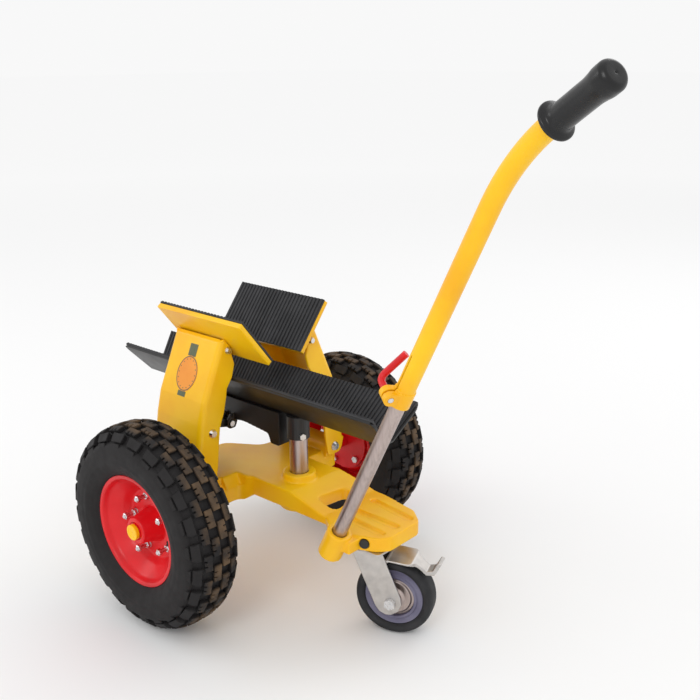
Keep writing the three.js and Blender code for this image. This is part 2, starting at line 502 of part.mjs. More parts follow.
add('handle_grip', cut(turned([
  [0, 3.5], [23.5, 3.5], [23.5, 8], [16.2, 11], [15.8, 66], [18.2, 82], [18.2, 95], [14, 100], [0, 100],
], bendEnd, gripDir, 24), [rod(gripAt(-5), gripAt(GRIP_LENGTH - 5), UPPER_R - 0.2, 20)]), GRIP);

// ---- origin: centre of the bounding box, on the floor --------------------------------------------
const bounds = new THREE.Box3().setFromObject(trolley);
trolley.position.set(-(bounds.min.x + bounds.max.x) / 2, -(bounds.min.y + bounds.max.y) / 2, 0);
trolley.updateMatrixWorld(true);

export default trolley;
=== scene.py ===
"""Looks for the self-clamping slab trolley: detailed meshes, node materials, studio and camera.

Everything is in metres in the row frame. Places come from the CAD nodes' boxes and joints where
they can, and otherwise from the driving sizes of the solids, repeated here in millimetres.
"""
import json
import math

import bmesh
import bpy
from mathutils import Matrix, Vector


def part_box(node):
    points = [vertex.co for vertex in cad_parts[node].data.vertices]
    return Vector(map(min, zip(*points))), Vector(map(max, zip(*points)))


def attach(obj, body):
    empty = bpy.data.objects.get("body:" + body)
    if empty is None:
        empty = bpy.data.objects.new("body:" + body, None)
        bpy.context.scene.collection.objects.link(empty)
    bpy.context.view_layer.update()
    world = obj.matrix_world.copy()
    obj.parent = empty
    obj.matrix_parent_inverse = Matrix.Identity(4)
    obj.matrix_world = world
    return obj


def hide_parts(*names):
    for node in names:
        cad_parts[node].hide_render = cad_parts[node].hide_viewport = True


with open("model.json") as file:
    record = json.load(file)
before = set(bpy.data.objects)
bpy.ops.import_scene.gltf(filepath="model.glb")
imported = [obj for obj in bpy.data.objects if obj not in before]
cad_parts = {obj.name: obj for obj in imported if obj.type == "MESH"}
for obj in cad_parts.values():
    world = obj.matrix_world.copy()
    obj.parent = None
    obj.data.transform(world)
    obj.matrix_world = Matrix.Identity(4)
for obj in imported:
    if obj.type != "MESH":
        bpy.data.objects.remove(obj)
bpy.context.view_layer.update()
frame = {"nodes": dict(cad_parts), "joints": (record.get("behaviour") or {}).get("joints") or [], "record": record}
MM = 0.001
TYRE_R = 165 * MM
TYRE_HALF = 47.8 * MM
TREAD_PITCHES = 24
GROOVE = 7.5 * MM
CORNER_STEPS = 4
X, Y, Z = Vector((1, 0, 0)), Vector((0, 1, 0)), Vector((0, 0, 1))


# ---- materials ---------------------------------------------------------------------------------
class Nodes:
    """A small helper that adds shader nodes and links them."""

    def __init__(self, name):
        self.mat = bpy.data.materials.new(name)
        self.mat.use_nodes = True
        self.tree = self.mat.node_tree
        self.shader = self.tree.nodes["Principled BSDF"]
        self.place = self.add("ShaderNodeTexCoord").outputs["Object"]

    def add(self, kind, **values):
        node = self.tree.nodes.new(kind)
        for key, value in values.items():
            if key in node.inputs:
                node.inputs[key].default_value = value
            else:
                setattr(node, key, value)
        return node

    def link(self, a, b):
        self.tree.links.new(a, b)

    def scaled(self, scale):
        m = self.add("ShaderNodeMapping")
        m.inputs["Scale"].default_value = scale
        self.link(self.place, m.inputs["Vector"])
        return m.outputs["Vector"]

    def noise(self, scale, detail=3.0, stretch=None):
        n = self.add("ShaderNodeTexNoise", Scale=scale, Detail=detail)
        self.link(self.scaled(stretch) if stretch else self.place, n.inputs["Vector"])
        return n.outputs["Fac"]

    def ramp(self, fac, stops):
        r = self.add("ShaderNodeValToRGB")
        while len(r.color_ramp.elements) < len(stops):
            r.color_ramp.elements.new(0.5)
        for e, (at, colour) in zip(r.color_ramp.elements, stops):
            e.position = at
            e.color = (*colour, 1)
        self.link(fac, r.inputs["Fac"])
        return r.outputs["Color"]

    def span(self, fac, low=0.0, high=1.0, start=0.0, end=1.0):
        """Maps a value that runs from start to end onto low to high."""
        m = self.add("ShaderNodeMapRange")
        for key, value in (("From Min", start), ("From Max", end), ("To Min", low), ("To Max", high)):
            m.inputs[key].default_value = value
        self.link(fac, m.inputs["Value"])
        return m.outputs["Result"]

    def times(self, a, b, clamp=False):
        m = self.add("ShaderNodeMath", operation="MULTIPLY", use_clamp=clamp)
        self.link(a, m.inputs[0])
        if isinstance(b, float):
            m.inputs[1].default_value = b
        else:
            self.link(b, m.inputs[1])
        return m.outputs[0]

    def length(self, vector):
        m = self.add("ShaderNodeVectorMath", operation="LENGTH")
        self.link(vector, m.inputs[0])
        return m.outputs["Value"]

    def mix(self, fac, a, b):
        m = self.add("ShaderNodeMix", data_type="RGBA")
        self.link(fac, m.inputs[0])
        for value, socket in ((a, m.inputs[6]), (b, m.inputs[7])):
            if isinstance(value, tuple):
                socket.default_value = (*value, 1)
            else:
                self.link(value, socket)
        return m.outputs[2]

    def bump(self, layers):
        """layers are (height, strength, distance), stacked."""
        last = None
        for height, strength, distance in layers:
            b = self.add("ShaderNodeBump", Strength=strength, Distance=distance)
            self.link(height, b.inputs["Height"])
            if last:
                self.link(last, b.inputs["Normal"])
            last = b.outputs["Normal"]
        self.link(last, self.shader.inputs["Normal"])

    def set(self, **values):
        for key, value in values.items():
            self.shader.inputs[key.replace("_", " ")].default_value = value

    def edges(self, low, high):
        """Convex edges, from the mesh's own pointiness, as the mask of a painted edge highlight."""
        return self.span(self.add("ShaderNodeNewGeometry").outputs["Pointiness"], start=low, end=high)


def paint(name, deep, body, light, rough, coat):
    """Sprayed enamel: patchy depth of colour, orange peel and a painted highlight in the light tone on the convex
    edges.
    """
    n = Nodes(name)
    patches = n.ramp(n.noise(9, 4), [(0.3, deep), (0.5, body), (0.72, light)])
    # Painted highlight: the convex edges take the light tone.
    dust_and_edge_highlight = n.mix(n.edges(0.53, 0.62), patches, light)
    n.link(dust_and_edge_highlight, n.shader.inputs["Base Color"])
    n.link(n.span(n.noise(34, 5), rough - 0.08, rough + 0.12), n.shader.inputs["Roughness"])
    n.set(Coat_Weight=coat, Coat_Roughness=0.12, Specular_IOR_Level=0.35)
    n.bump([(n.noise(420, 2), 0.05, 0.0006), (n.noise(26, 3), 0.12, 0.0008)])
    return n.mat


def metal(name, dark, light, rough, streak=(1, 1, 1), grain=240.0):
    """Bare or plated steel: streaked or spangled colour and roughness."""
    n = Nodes(name)
    grainy = n.noise(grain, 4, streak)
    blotch = n.noise(28, 4)
    streaks = n.ramp(grainy, [(0.3, dark), (0.7, light)])
    n.link(n.mix(blotch, streaks, light), n.shader.inputs["Base Color"])
    n.link(n.span(grainy, rough - 0.08, rough + 0.16), n.shader.inputs["Roughness"])
    n.set(Metallic=1.0)
    n.bump([(grainy, 0.08, 0.0004)])
    return n.mat


def rubber(name, dark, dust, amount, rough=0.72, grain=600.0):
    """Moulded rubber with fine grain, pale dust lying on it in patches, and a painted highlight in the dust colour
    on the convex edges.
    """
    n = Nodes(name)
    patch = n.ramp(n.noise(22, 6), [(0.42, (0, 0, 0)), (0.75, (amount,) * 3)])
    dust_and_edge_highlight = n.mix(patch, dark, dust)
    # Painted highlight: the convex edges are lightened towards the dust colour.
    edge = n.times(n.edges(0.52, 0.66), amount)
    n.link(n.mix(edge, dust_and_edge_highlight, dust), n.shader.inputs["Base Color"])
    n.link(n.span(n.noise(80, 4), rough - 0.1, rough + 0.14), n.shader.inputs["Roughness"])
    n.set(Specular_IOR_Level=0.42)
    n.bump([(n.noise(grain, 3), 0.22, 0.0005)])
    return n.mat


def tread(name, dark, dust):
    """Tyre rubber: dark walls and grooves, brown dust on the tops of the blocks near the crown."""
    n = Nodes(name)
    split = n.add("ShaderNodeSeparateXYZ")
    n.link(n.place, split.inputs[0])
    side = n.add("ShaderNodeMath", operation="ABSOLUTE")
    n.link(split.outputs["Y"], side.inputs[0])
    crown = n.span(side.outputs[0], start=TYRE_HALF * 0.82, end=TYRE_HALF * 0.25)
    patch = n.span(n.noise(30, 5), -0.9, 1.5)
    flat = n.add("ShaderNodeVectorMath", operation="MULTIPLY")
    flat.inputs[1].default_value = (1, 0, 1)
    n.link(n.place, flat.inputs[0])
    top = n.span(n.length(flat.outputs[0]), start=TYRE_R - 5 * MM, end=TYRE_R - 2.5 * MM)
    dusty = n.times(n.times(crown, patch), top, clamp=True)
    n.link(n.mix(dusty, dark, dust), n.shader.inputs["Base Color"])
    n.link(n.span(n.noise(60, 4), 0.52, 0.86), n.shader.inputs["Roughness"])
    n.set(Specular_IOR_Level=0.3)
    n.bump([(n.noise(500, 3), 0.2, 0.0005), (n.noise(60, 3), 0.15, 0.0008)])
    return n.mat


YELLOW = paint("yellow_paint", (0.90, 0.42, 0.002), (0.96, 0.53, 0.002), (0.98, 0.60, 0.003), 0.36, 0.14)
RED = paint("red_paint", (0.50, 0.002, 0.006), (0.72, 0.004, 0.010), (0.80, 0.010, 0.016), 0.36, 0.14)
BLACK = paint("black_paint", (0.004, 0.004, 0.004), (0.009, 0.0085, 0.0085), (0.02, 0.019, 0.019), 0.42, 0.12)
STEEL = metal("bare_steel", (0.30, 0.24, 0.22), (0.56, 0.47, 0.44), 0.34, (1, 1, 0.08), 300.0)
ZINC = metal("zinc_steel", (0.38, 0.36, 0.35), (0.64, 0.61, 0.58), 0.36, grain=70.0)
BRIGHT = metal("bright_steel", (0.42, 0.42, 0.43), (0.78, 0.78, 0.79), 0.24)
RIBBED = rubber("ribbed_rubber", (0.011, 0.011, 0.0125), (0.07, 0.07, 0.075), 0.4)
CASTER = rubber("caster_rubber", (0.006, 0.006, 0.0065), (0.05, 0.045, 0.04), 0.25, 0.38)
TYRE = tread("tyre_rubber", (0.012, 0.0105, 0.0108), (0.17, 0.105, 0.055))
GRIP = rubber("grip_plastic", (0.004, 0.004, 0.0045), (0.02, 0.02, 0.023), 0.3, 0.27, 300.0)
GREY = rubber("grey_plastic", (0.13, 0.12, 0.19), (0.28, 0.27, 0.36), 0.5, 0.5, 300.0)
PLASTIC = rubber("black_plastic", (0.012, 0.012, 0.012), (0.05, 0.05, 0.05), 0.3, 0.45, 300.0)
BADGE = paint("badge_orange", (0.70, 0.16, 0.01), (0.86, 0.28, 0.02), (0.93, 0.40, 0.03), 0.4, 0.3)
STRIPE = paint("badge_stripe", (0.02, 0.035, 0.03), (0.045, 0.07, 0.055), (0.10, 0.12, 0.06), 0.4, 0.3)

SLOT_MATERIAL = {
    "yellow_paint": YELLOW, "red_paint": RED, "tyre_rubber": TYRE, "black_rubber": RIBBED,
    "black_paint": BLACK, "black_plastic": PLASTIC, "grip_plastic": GRIP, "grey_plastic": GREY,
    "zinc_steel": ZINC, "bare_steel": STEEL, "bright_steel": BRIGHT,
}
NODE_SLOT = {row["node"]: row["material_slot"] for row in frame["record"]["subparts"]}
NODE_BODY = {n: b for b, nodes in frame["record"]["behaviour"]["bodies"].items() for n in nodes}


# ---- mesh helpers ------------------------------------------------------------------------------
def settle(obj, first, material=None):
    """Material, slot and body for a new piece, those of the node it belongs to unless given."""
    obj.data.materials.clear()
    obj.data.materials.append(material or SLOT_MATERIAL[NODE_SLOT[first]])
    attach(obj, NODE_BODY[first])
    return obj


def stand_for(obj, node):
    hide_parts(node)
    return settle(obj, node)


def piece(name, bm, sharp=35.0):
    bmesh.ops.recalc_face_normals(bm, faces=bm.faces)
    mesh = bpy.data.meshes.new(name)
    bm.to_mesh(mesh)
    bm.free()
    obj = bpy.data.objects.new(name, mesh)
    bpy.context.scene.collection.objects.link(obj)
    smooth(obj, sharp)
    return obj


def smooth(obj, sharp=35.0):
    mesh = obj.data
    mesh.polygons.foreach_set("use_smooth", [True] * len(mesh.polygons))
    mesh.set_sharp_from_angle(angle=math.radians(sharp))
    mesh.update()


def bake(obj):
    """The object's modifiers, applied."""
    bpy.context.view_layer.update()
    done = bpy.data.meshes.new_from_object(obj.evaluated_get(bpy.context.evaluated_depsgraph_get()))
    obj.modifiers.clear()
    obj.data = done


def cad_copy(name, node):
    obj = bpy.data.objects.new(name, frame["nodes"][node].data.copy())
    bpy.context.scene.collection.objects.link(obj)
    return obj


def soft_cast(name, node, voxel, rounds):
    """A node's solid with its edges rounded, as cast or pressed metal has them."""
    obj = cad_copy(name, node)
    remesh = obj.modifiers.new("voxels", "REMESH")
    remesh.mode = "VOXEL"
    remesh.voxel_size = voxel
    relax = obj.modifiers.new("relax", "SMOOTH")
    relax.factor = 0.5
    relax.iterations = rounds
    bake(obj)
    smooth(obj, 60)
    return stand_for(obj, node)


def round_folds(obj, outline, x_low, x_high, radius):
    """Turns the outer folds of a pressed channel, where its web meets its cheeks, on a radius.
    outline is the web's outside line in the |Y|-Z plane."""
    pairs = [(Vector(a), Vector(b)) for a, b in zip(outline, outline[1:])]
    for v in obj.data.vertices:
        p = Vector((abs(v.co.y), v.co.z))
        if p.y < outline[-1][1]:
            continue
        nearest = None
        for a, b in pairs:
            run = b - a
            t = max(0, min(1, (p - a).dot(run) / run.length_squared))
            gap = p - a - run * t
            if nearest is None or gap.length < nearest[0]:
                nearest = (gap.length, Vector((-run.y, run.x)).normalized())
        deep, normal = nearest
        side = min(v.co.x - x_low, x_high - v.co.x)
        if deep < radius and side < radius:
            across, through = radius - side, radius - deep
            reach = math.hypot(across, through)
            if reach > radius:
                k = radius / reach
                new_side, new_deep = radius - across * k, radius - through * k
                v.co.x += (new_side - side) * (1 if v.co.x - x_low < x_high - v.co.x else -1)
                inward = normal if normal.x < 0 else -normal
                shift = inward * (new_deep - deep)
                v.co.y += shift.x * (1 if v.co.y > 0 else -1)
                v.co.z += shift.y
    obj.data.update()


def chamfer_copy(name, node, width):
    """A node's solid with flat faces rebuilt and every edge rounded."""
    obj = cad_copy(name, node)
    bm = bmesh.new()
    bm.from_mesh(obj.data)
    bmesh.ops.remove_doubles(bm, verts=bm.verts, dist=1e-6)
    bmesh.ops.dissolve_limit(bm, angle_limit=math.radians(1), verts=bm.verts, edges=bm.edges)
    bm.to_mesh(obj.data)
    bm.free()
    bevel = obj.modifiers.new("edges", "BEVEL")
    bevel.width = width
    bevel.segments = 3
    bevel.limit_method = "ANGLE"
    bevel.angle_limit = math.radians(28)
    bake(obj)
    smooth(obj, 40)
    return stand_for(obj, node)


def rounded(outline, radius):
    """A closed outline of (a, b) points with its corners rounded as far as the edges allow."""
    points = [Vector(p) for p in outline]
    out = []
    for i, p in enumerate(points):
        back, ahead = points[i - 1] - p, points[(i + 1) % len(points)] - p
        reach = min(radius, back.length * 0.42, ahead.length * 0.42)
        a, b = p + back.normalized() * reach, p + ahead.normalized() * reach
        if back.angle(ahead) > math.radians(172):
            out.append(p)
            continue
        for k in range(CORNER_STEPS + 1):
            t = k / CORNER_STEPS
            out.append(a * (1 - t) ** 2 + p * 2 * t * (1 - t) + b * t**2)
    return out


def axes(direction):
    side = direction.cross(Z if abs(direction.z) < 0.9 else X).normalized()
    return side, direction.cross(side).normalized()


def revolve(name, outline, origin, direction, segments=96, sharp=35.0):
    """A closed (radius, distance) outline turned round an axis."""
    u, v = axes(direction)
    bm = bmesh.new()
    rings = []
    for k in range(segments):
        t = 2 * math.pi * k / segments
        out = u * math.cos(t) + v * math.sin(t)
        rings.append([bm.verts.new(origin + out * r + direction * h) for r, h in outline])
    for k in range(segments):
        a, b = rings[k], rings[(k + 1) % segments]
        for i in range(len(outline)):
            j = (i + 1) % len(outline)
            bm.faces.new((a[i], a[j], b[j], b[i]))
    bmesh.ops.remove_doubles(bm, verts=bm.verts, dist=1e-6)
    return piece(name, bm, sharp)


def tube(name, points, radius, sides):
    """A capped round bar through these points."""
    bm = bmesh.new()
    rings = []
    side = None
    for i, p in enumerate(points):
        ahead = (points[min(i + 1, len(points) - 1)] - points[max(i - 1, 0)]).normalized()
        side = axes(ahead)[0] if side is None else (side - ahead * side.dot(ahead)).normalized()
        other = ahead.cross(side)
        rings.append([bm.verts.new(p + (side * math.cos(t) + other * math.sin(t)) * radius)
                      for t in (2 * math.pi * k / sides for k in range(sides))])
    for a, b in zip(rings, rings[1:]):
        for k in range(sides):
            bm.faces.new((a[k], a[(k + 1) % sides], b[(k + 1) % sides], b[k]))
    bm.faces.new(rings[0])
    bm.faces.new(rings[-1])
    return piece(name, bm)


def mirrored(half):
    """Half an outline of (radius, distance) points, closed by its own mirror image."""
    return half + [(r, -h) for r, h in reversed(half)]


def regular(radius, count):
    """A regular polygon's corners."""
    turns = [math.pi * j / (count / 2) for j in range(count)]
    return [(radius * math.cos(t), radius * math.sin(t)) for t in turns]


def prism(bm, outline, place, low, high, inset=0.0):
    """A solid from an outline, mapped by place(a, b, height). Its top is drawn in by inset."""
    count = len(outline)
    area = sum(outline[i - 1][0] * outline[i][1] - outline[i][0] * outline[i - 1][1]
               for i in range(count))
    turn = 1 if area > 0 else -1
    drawn = []
    for i in range(count):
        p = Vector(outline[i])
        a = (p - Vector(outline[i - 1])).normalized()
        b = (Vector(outline[(i + 1) % count]) - p).normalized()
        inward = (Vector((-a.y, a.x)) + Vector((-b.y, b.x))) * turn
        inward = inward.normalized() / max(0.5, inward.length / 2)
        drawn.append(p + inward * inset)
    levels = [(outline, low), (outline, high)]
    if inset:
        levels[1:] = [(outline, high - inset), (drawn, high)]
    rings = [[bm.verts.new(place(a, b, h)) for a, b in points] for points, h in levels]
    for r0, r1 in zip(rings, rings[1:]):
        for i in range(count):
            j = (i + 1) % count
            bm.faces.new((r0[i], r0[j], r1[j], r1[i]))
    bm.faces.new(rings[0])
    bm.faces.new(rings[-1])


def centre_of(node):
    low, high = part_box(node)
    return (low + high) / 2


def round_bar(name, node, direction, radius, ease=0.8 * MM):
    """A plain round bar with eased ends in place of a faceted one."""
    low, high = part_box(node)
    size = high - low
    spread = [size[i] - 2 * radius * math.sqrt(max(0, 1 - direction[i] ** 2)) for i in range(3)]
    main = max(range(3), key=lambda i: abs(direction[i]))
    half = spread[main] / abs(direction[main]) / 2
    outline = rounded([(0.2 * MM, -half), (radius, -half), (radius, half), (0.2 * MM, half)], ease)
    stand_for(revolve(name, outline, (low + high) / 2, direction, 72), node)


# ---- road wheels -------------------------------------------------------------------------------
CROWN = [(0, 165), (9, 164.9), (18, 164.0), (27, 161.4), (34, 157.5), (40, 151.5), (44, 144), (46.6, 134),
         (47.7, 122), (46.8, 110), (43.6, 101), (38.6, 93.5)]
CROWN = [(a * MM, r * MM) for a, r in CROWN]


def crown_at(s):
    """(axial, radius, outward normal) at arc length s from the middle of the tread."""
    sign = -1 if s < 0 else 1
    left = abs(s)
    for (a0, r0), (a1, r1) in zip(CROWN, CROWN[1:]):
        step = math.hypot(a1 - a0, r1 - r0)
        if left <= step or (a1, r1) == CROWN[-1]:
            t = left / step
            n = Vector((-(r1 - r0), a1 - a0)).normalized()
            return sign * (a0 + (a1 - a0) * t), r0 + (r1 - r0) * t, Vector((sign * n.x, n.y))
        left -= step
    raise ValueError(s)


TREAD_ROWS = [  # from, to, length and notch depth in millimetres, then the phase in pitches
    (1.6, 14.5, 27, 4.5, 0.0), (17.5, 30.5, 25, 4.5, 0.5), (34, 49, 29, 0, 0.0), (51.5, 60, 22, 0, 0.0),
]
SHOULDER_FROM = 50  # rows beyond this are the low lugs on the wall


def tyre_carcass(name):
    """The tyre without its blocks: sunk by the groove's depth, with a moulded ring on each wall."""
    wall = []
    total = sum(math.dist(p, q) for p, q in zip(CROWN, CROWN[1:]))
    steps = 44
    for i in range(-steps, steps + 1):
        s = total * i / steps * 0.995
        a, r, n = crown_at(s)
        deep = GROOVE * min(1, max(0, (58 * MM - abs(s)) / (10 * MM)))
        ring = 0.7 * MM * max(0, 1 - abs(abs(s) - 84 * MM) / (2.2 * MM))
        wall.append((r - n.y * (deep - ring), a - n.x * (deep - ring)))
    wall = [(min(r, TYRE_R), max(-TYRE_HALF, min(TYRE_HALF, a))) for r, a in wall]
    bead = [(84.4 * MM, 27 * MM), (84.4 * MM, -27 * MM)]
    return revolve(name, wall + bead, Vector((0, 0, 0)), Y, 120, 50)


def block_outline(low, high, half, bite):
    """A tread block round (along, across). With a bite it has two notches in its outer edge,
    and otherwise it is a lug that narrows outwards on one side."""
    if not bite:
        mid = (low + high) / 2
        return [(-half, low), (half, low), (half * 0.86, mid), (half * 0.86, high),
                (-half, high), (-half * 1.1, mid)]
    slot = 1.1 * MM
    outline = [(-half, low), (half, low), (half, high)]
    for at in (half / 3, -half / 3):
        outline += [(at + slot, high), (at + slot, high - bite), (at - slot, high - bite), (at - slot, high)]
    return outline + [(-half, high)]


def wheel_tyre(side):
    """Carcass with rounded shoulders and moulded rings, and rows of notched tread blocks on it."""
    name = f"{side}_tyre_detailed"
    carcass = tyre_carcass(name)
    bm = bmesh.new()
    bm.from_mesh(carcass.data)
    pitch = 2 * math.pi * TYRE_R / TREAD_PITCHES

    def add_block(outline, middle, mirror, depth):
        def place(u, s, h):
            a, r, n = crown_at(mirror * s)
            radius = r + n.y * h
            t = (middle + u) / TYRE_R
            return Vector((radius * math.cos(t), a + n.x * h, radius * math.sin(t)))

        prism(bm, outline, place, -depth, 0, 0.9 * MM)

    for k in range(TREAD_PITCHES):
        for mirror in (-1, 1):
            for low, high, length, notch, phase in TREAD_ROWS:
                middle = (k + phase + (0.5 if mirror < 0 else 0)) * pitch
                depth = GROOVE + 0.8 * MM if low < SHOULDER_FROM else 2.6 * MM
                outline = block_outline(low * MM, high * MM, length * MM / 2, notch * MM)
                add_block(outline, middle, mirror, depth)
    bpy.data.objects.remove(carcass)
    tyre = piece(name, bm, 40)
    tyre.location = centre_of(f"{side}_wheel_tyre")
    return stand_for(tyre, f"{side}_wheel_tyre")


def wheel_metal(side):
    """Rim with its deep dish and well, hub cap with a raised edge, and five bolts."""
    sign = -1 if side == "left" else 1
    centre = centre_of(f"{side}_wheel_tyre")
    out = Y * sign
    rim = [
        (13.6, 33.6), (21, 33.6), (24, 16), (28.5, -3), (57, -3), (64, 9), (74, 20), (80.4, 26), (84, 35.5),
        (90, 35.5), (90, 33), (83.8, 29), (83.8, -29), (90, -33), (90, -35.5), (84, -35.5), (80.4, -31),
        (80.4, 21), (75, 18), (60, -6), (25.6, -6), (21.6, 14), (18.8, 28), (13.6, 28),
    ]
    rim = rounded([(r * MM, a * MM) for r, a in rim], 3.2 * MM)
    stand_for(revolve(f"{side}_rim_detailed", rim, centre, out, 128), f"{side}_wheel_rim")
    cap = rounded([(0.4 * MM, 34 * MM), (12.4 * MM, 34 * MM), (12.4 * MM, 40.4 * MM), (8.2 * MM, 40.4 * MM),
                   (7.6 * MM, 39.4 * MM), (0.4 * MM, 39.4 * MM)], 1.2 * MM)
    stand_for(revolve(f"{side}_hub_cap_detailed", cap, centre, out, 64), f"{side}_wheel_hub_cap")
    for k in range(1, 6):
        wheel_bolt(side, k, centre.y, sign)


def wheel_bolt(side, number, plane, sign):
    """Bolt head, nut and end nut, a washer and the shank; sign is +1 where outwards is +Y."""
    node = f"{side}_wheel_bolt_{number}"
    low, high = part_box(node)
    middle = (low + high) / 2
    origin = Vector((middle.x, plane, middle.z))
    hexagon = regular(6.4 * MM, 6)
    bm = bmesh.new()
    for outline, start, end, ease in (
        (hexagon, -17.8, -12.3, 0.5),
        (hexagon, -1.0, 4.0, 0.8),
        ([(a * 0.86, b * 0.86) for a, b in hexagon], 14.5, 20.6, 1.2),
        (regular(6.6 * MM, 32), -2.7, -1.2, 0.2),
        (regular(3.3 * MM, 24), -18, 21.8, 0.6),
    ):
        prism(bm, outline, lambda a, b, h: origin + Vector((a, sign * h, b)), start * MM, end * MM, ease * MM)
    stand_for(piece(f"{side}_bolt_{number}_detailed", bm, 30), node)


# ---- jaws and cradle ---------------------------------------------------------------------------
RIB_PITCH = 7.6 * MM
RIB_HEIGHT = 1.3 * MM
END_SLANT = 18 * MM
PAD_LEAN = math.radians(38.5)
UPRIGHT_WEB = [(77, 424), (118, 333), (127, 298), (136, 243), (141, 214)]  # outer line, |Y| and Z in mm


def ribbed_strip(bm, start, end, normal, x0, x1, thick, lean=0.0):
    """A rubber sheet from start to end in the Y-Z plane, with ribs spaced along X. With a lean
    its two ends slant inwards towards start."""
    length = (end - start).length
    up = (end - start) / length
    ribs = int((x1 - x0) / RIB_PITCH)
    pitch = (x1 - x0) / ribs
    floor = thick - RIB_HEIGHT
    profile = [(0, 0), (0, floor)]
    for k in range(ribs):
        at = k * pitch
        profile += [(at + pitch * f, h) for f, h in
                    ((0.16, floor), (0.22, thick), (0.74, thick), (0.80, floor))]
    profile += [(x1 - x0, floor), (x1 - x0, 0)]
    ends = []
    for s in (0, length):
        cut = lean * (length - s)
        scale = (x1 - x0 - cut - cut) / (x1 - x0)
        ends.append([bm.verts.new(Vector((x0 + cut + a * scale, 0, 0)) + start + up * s + normal * h)
                     for a, h in profile])
    count = len(profile)
    for i in range(count):
        j = (i + 1) % count
        bm.faces.new((ends[0][i], ends[0][j], ends[1][j], ends[1][i]))
    for ring in ends:
        bm.faces.new(ring)


def pad_rubber(side):
    """The ribbed sheet on a pad. The lower edge of its face is 28.8 mm from the middle plane."""
    sign = -1 if side == "left" else 1
    low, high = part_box(f"{side}_pad_rubber")
    thick, height = 4 * MM, 95.5 * MM
    normal = Vector((0, -sign * math.cos(PAD_LEAN), math.sin(PAD_LEAN)))
    up = Vector((0, sign * math.sin(PAD_LEAN), math.cos(PAD_LEAN)))
    foot = Vector((0, sign * 28.8 * MM, low.z + thick * math.sin(PAD_LEAN))) - normal * thick
    bm = bmesh.new()
    ribbed_strip(bm, foot, foot + up * height, normal, low.x, high.x, thick)
    stand_for(piece(f"{side}_pad_rubber_ribbed", bm, 30), f"{side}_pad_rubber")


def cradle_liner():
    """Two ribbed walls and the flat strip between them."""
    low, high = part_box("cradle_liner")
    shell_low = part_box("cradle_shell")[0]
    floor_half, plate, thick = 11 * MM, 4.3 * MM, 4.6 * MM
    edge = Vector((0, 56 * MM, 356 * MM))
    slope = (edge - Vector((0, floor_half, shell_low.z))).normalized()
    bm = bmesh.new()
    for sign in (-1, 1):
        up = Vector((0, sign * slope.y, slope.z))
        normal = Vector((0, -sign * slope.z, slope.y))
        top = Vector((0, sign * edge.y, edge.z)) + normal * plate
        foot = top - up * ((top.z - low.z - 0.2 * MM) / slope.z)
        lean = END_SLANT / (high.z - low.z) * slope.z
        ribbed_strip(bm, foot, top, normal, low.x, high.x, thick, lean)
    flat, strip_top = 6.4 * MM, low.z + 4.7 * MM
    strip = [(-flat, low.z), (flat, low.z), (flat, strip_top), (-flat, strip_top)]
    prism(bm, strip, lambda y, z, x: Vector((x, y, z)), low.x + END_SLANT, high.x - END_SLANT)
    stand_for(piece("cradle_liner_ribbed", bm, 30), "cradle_liner")


# Places on the badge run across the upright and down its face from the web's top edge.
BADGE_AT = (0.0, -61.5 * MM)
BADGE_HALF = (24 * MM, 29.5 * MM)
BADGE_BANDS = [(-99 * MM, -90.5 * MM), (-32.5 * MM, -12 * MM)]


def badge():
    """A plain oval with a beaded rim on two dark bands, on the left upright's outer face."""
    low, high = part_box("left_upright")
    (top_y, top_z), (next_y, next_z) = UPRIGHT_WEB[:2]
    top = Vector(((low.x + high.x) / 2, -top_y * MM, top_z * MM))
    up = Vector((0, next_y - top_y, top_z - next_z)).normalized()
    out = Vector((0, next_z - top_z, next_y - top_y)).normalized()

    def place(a, b, h):
        return top + X * a + up * b + out * h

    def ellipse(share_across, share_down, count):
        turns = [2 * math.pi * k / count for k in range(count)]
        return [(middle + half_across * share_across * math.cos(t),
                 centre + half_down * share_down * math.sin(t)) for t in turns]

    def finish_badge(name, bm, material):
        settle(piece(name, bm, 30), "left_upright", material=material)

    middle, centre = BADGE_AT
    half_across, half_down = BADGE_HALF
    bands = bmesh.new()
    for low_s, high_s in BADGE_BANDS:
        for a in (-9.4, -3.2, 3.0):
            left, right = middle + a * MM, middle + (a + 6.0) * MM
            bar = [(left, low_s), (right, low_s), (right, high_s), (left, high_s)]
            prism(bands, bar, place, -0.2 * MM, 0.35 * MM)
    finish_badge("badge_bands", bands, STRIPE)
    oval = bmesh.new()
    prism(oval, ellipse(1, 1, 56), place, -0.2 * MM, 0.5 * MM, 0.15 * MM)
    finish_badge("badge_oval", oval, BADGE)
    marks = bmesh.new()
    edge, inner = ellipse(0.97, 0.97, 56), ellipse(0.92, 0.92, 56)
    for k in range(len(edge)):
        j = (k + 1) % len(edge)
        prism(marks, [edge[k], edge[j], inner[j], inner[k]], place, 0.4 * MM, 0.62 * MM)
    for x, s in ellipse(0.8, 0.82, 16):
        bead = [(x + a, s + b) for a, b in regular(1.0 * MM, 8)]
        prism(marks, bead, place, 0.4 * MM, 0.64 * MM)
    finish_badge("badge_marks", marks, STRIPE)


# ---- handle ------------------------------------------------------------------------------------
JOINTS = {j["name"]: j for j in frame["joints"]}
UPPER_TUBE_R = 13.5 * MM
CLAMP_ROUNDS = (UPPER_TUBE_R, 15.1 * MM, 11.4 * MM)  # the tube, its thicker foot and its bore
CLAMP_FOOT = 256 * MM
CLAMP_KEEP = CLAMP_FOOT + 96 * MM
BEND_START, BEND_R = 559 * MM, 230 * MM
BEND_ANGLE, BEND_TURN = math.radians(33.8), math.radians(27)


def tube_line():
    """The foot of the straight tubes' shared line and its direction."""
    j = JOINTS["handle_turn"]
    return Vector(j["pos_m"]), Vector(j["axis"]).normalized()


